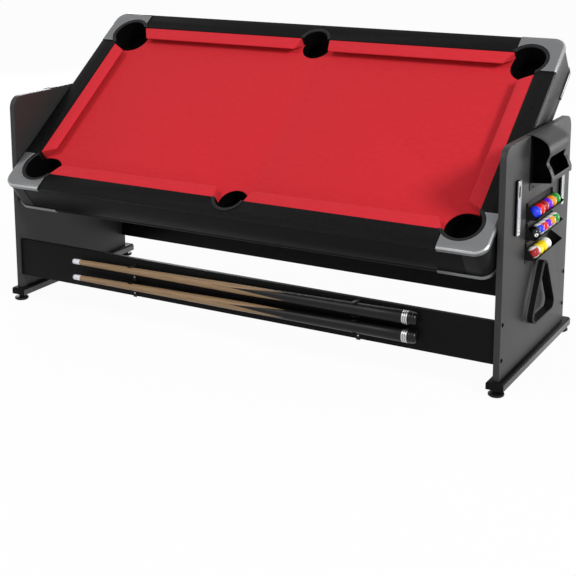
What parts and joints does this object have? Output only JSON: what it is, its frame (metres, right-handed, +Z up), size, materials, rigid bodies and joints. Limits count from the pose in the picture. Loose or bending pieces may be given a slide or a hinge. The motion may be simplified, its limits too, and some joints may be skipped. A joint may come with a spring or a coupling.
{
  "type": "multi game table",
  "caption": "Three-in-one games table whose pool and air hockey body turns over between two end panels, with cues, balls and a rack stored on the stand.",
  "frame": {"origin": "centre of the bounding box on the floor", "axes": "+X along the table's length to the end with the ball trays, -Y the front with the cues, +Z up"},
  "size_m": [2.203, 0.8834, 1.1087],
  "materials": {
    "panel_laminate": "charcoal laminate on board, satin",
    "black_laminate": "black laminate on board, satin",
    "black_steel": "black powder coat",
    "black_plastic": "moulded, fine texture",
    "liner_plastic": "moulded, satin",
    "nylon": "moulded",
    "zinc_steel": "zinc plate",
    "silver_moulding": "silver paint",
    "red_cloth_board": "red cloth glued on board",
    "red_cloth_rubber": "red cloth over rubber",
    "white_board": "white gloss coat on board",
    "cue_maple": "varnished",
    "ball_resin": "polished"
  },
  "bodies": {
    "stand": {"left_end_panel": "panel_laminate", "left_foot_rail": "black_laminate", "left_pivot_hood": "black_steel", "left_pivot_bush": "nylon", "left_cue_clip": "black_plastic", "right_end_panel": "panel_laminate", "right_foot_rail": "black_laminate", "right_pivot_hood": "black_steel", "right_pivot_bush": "nylon", "right_cue_clip": "black_plastic", "front_stretcher": "black_laminate", "front_slotted_strip": "zinc_steel", "rear_stretcher": "black_laminate", "rear_slotted_strip": "zinc_steel", "top_ball_tray": "black_steel", "middle_ball_tray": "black_steel", "bottom_ball_tray": "black_steel"},
    "table": {"front_apron": "black_laminate", "rear_apron": "black_laminate", "left_end_cap": "black_laminate", "right_end_cap": "black_laminate", "pool_rail_frame": "black_laminate", "hockey_rail_frame": "black_laminate", "left_pivot_shaft": "zinc_steel", "right_pivot_shaft": "zinc_steel", "hockey_blower": "black_plastic", "pool_bed": "red_cloth_board", "front_left_cushion": "red_cloth_rubber", "front_right_cushion": "red_cloth_rubber", "rear_left_cushion": "red_cloth_rubber", "rear_right_cushion": "red_cloth_rubber", "left_end_cushion": "red_cloth_rubber", "right_end_cushion": "red_cloth_rubber", "front_left_pool_casting": "silver_moulding", "front_left_hockey_casting": "silver_moulding", "front_right_pool_casting": "silver_moulding", "front_right_hockey_casting": "silver_moulding", "rear_left_pool_casting": "silver_moulding", "rear_left_hockey_casting": "silver_moulding", "rear_right_pool_casting": "silver_moulding", "rear_right_hockey_casting": "silver_moulding", "front_left_pocket": "liner_plastic", "front_middle_pocket": "liner_plastic", "front_right_pocket": "liner_plastic", "rear_left_pocket": "liner_plastic", "rear_middle_pocket": "liner_plastic", "rear_right_pocket": "liner_plastic", "hockey_playfield": "white_board"},
    "left_front_foot": {"left_front_foot": "black_steel"},
    "left_rear_foot": {"left_rear_foot": "black_steel"},
    "right_front_foot": {"right_front_foot": "black_steel"},
    "right_rear_foot": {"right_rear_foot": "black_steel"},
    "left_lock_pin": {"left_lock_pin": "black_plastic"},
    "right_lock_pin": {"right_lock_pin": "black_plastic"},
    "upper_cue": {"upper_cue": "cue_maple"},
    "lower_cue": {"lower_cue": "cue_maple"},
    "triangle_rack": {"triangle_rack": "black_plastic"},
    "top_ball_row": {"top_ball_row": "ball_resin"},
    "middle_ball_row": {"middle_ball_row": "ball_resin"},
    "bottom_ball_row": {"bottom_ball_row": "ball_resin"}
  },
  "joints": [
    {"name": "table_flip", "type": "hinge", "parent": "stand", "child": "table", "pos_m": [0, 0, 0.749], "axis": [1, 0, 0], "range_deg": [-37.2, 142.8]},
    {"name": "left_front_foot_screw", "type": "slide", "parent": "stand", "child": "left_front_foot", "axis": [0, 0, 1], "range_m": [-0.015, 0]},
    {"name": "left_rear_foot_screw", "type": "slide", "parent": "stand", "child": "left_rear_foot", "axis": [0, 0, 1], "range_m": [-0.015, 0]},
    {"name": "right_front_foot_screw", "type": "slide", "parent": "stand", "child": "right_front_foot", "axis": [0, 0, 1], "range_m": [-0.015, 0]},
    {"name": "right_rear_foot_screw", "type": "slide", "parent": "stand", "child": "right_rear_foot", "axis": [0, 0, 1], "range_m": [-0.015, 0]},
    {"name": "left_lock_pull", "type": "slide", "parent": "stand", "child": "left_lock_pin", "axis": [-1, 0, 0], "range_m": [0, 0.012], "stiffness_N_per_m": 400, "springref_m": -0.01},
    {"name": "right_lock_pull", "type": "slide", "parent": "stand", "child": "right_lock_pin", "axis": [1, 0, 0], "range_m": [0, 0.012], "stiffness_N_per_m": 400, "springref_m": -0.01},
    {"name": "upper_cue_lift_off", "type": "slide", "parent": "stand", "child": "upper_cue", "axis": [0, -1, 0], "range_m": [0, 0.08]},
    {"name": "lower_cue_lift_off", "type": "slide", "parent": "stand", "child": "lower_cue", "axis": [0, -1, 0], "range_m": [0, 0.08]},
    {"name": "rack_lift_off", "type": "slide", "parent": "stand", "child": "triangle_rack", "axis": [1, 0, 0], "range_m": [0, 0.08]},
    {"name": "top_row_lift_off", "type": "slide", "parent": "stand", "child": "top_ball_row", "axis": [0.6, 0, 0.8], "range_m": [0, 0.025]},
    {"name": "middle_row_lift_off", "type": "slide", "parent": "stand", "child": "middle_ball_row", "axis": [0.6, 0, 0.8], "range_m": [0, 0.025]},
    {"name": "bottom_row_lift_off", "type": "slide", "parent": "stand", "child": "bottom_ball_row", "axis": [0.6, 0, 0.8], "range_m": [0, 0.025]}
  ]
}
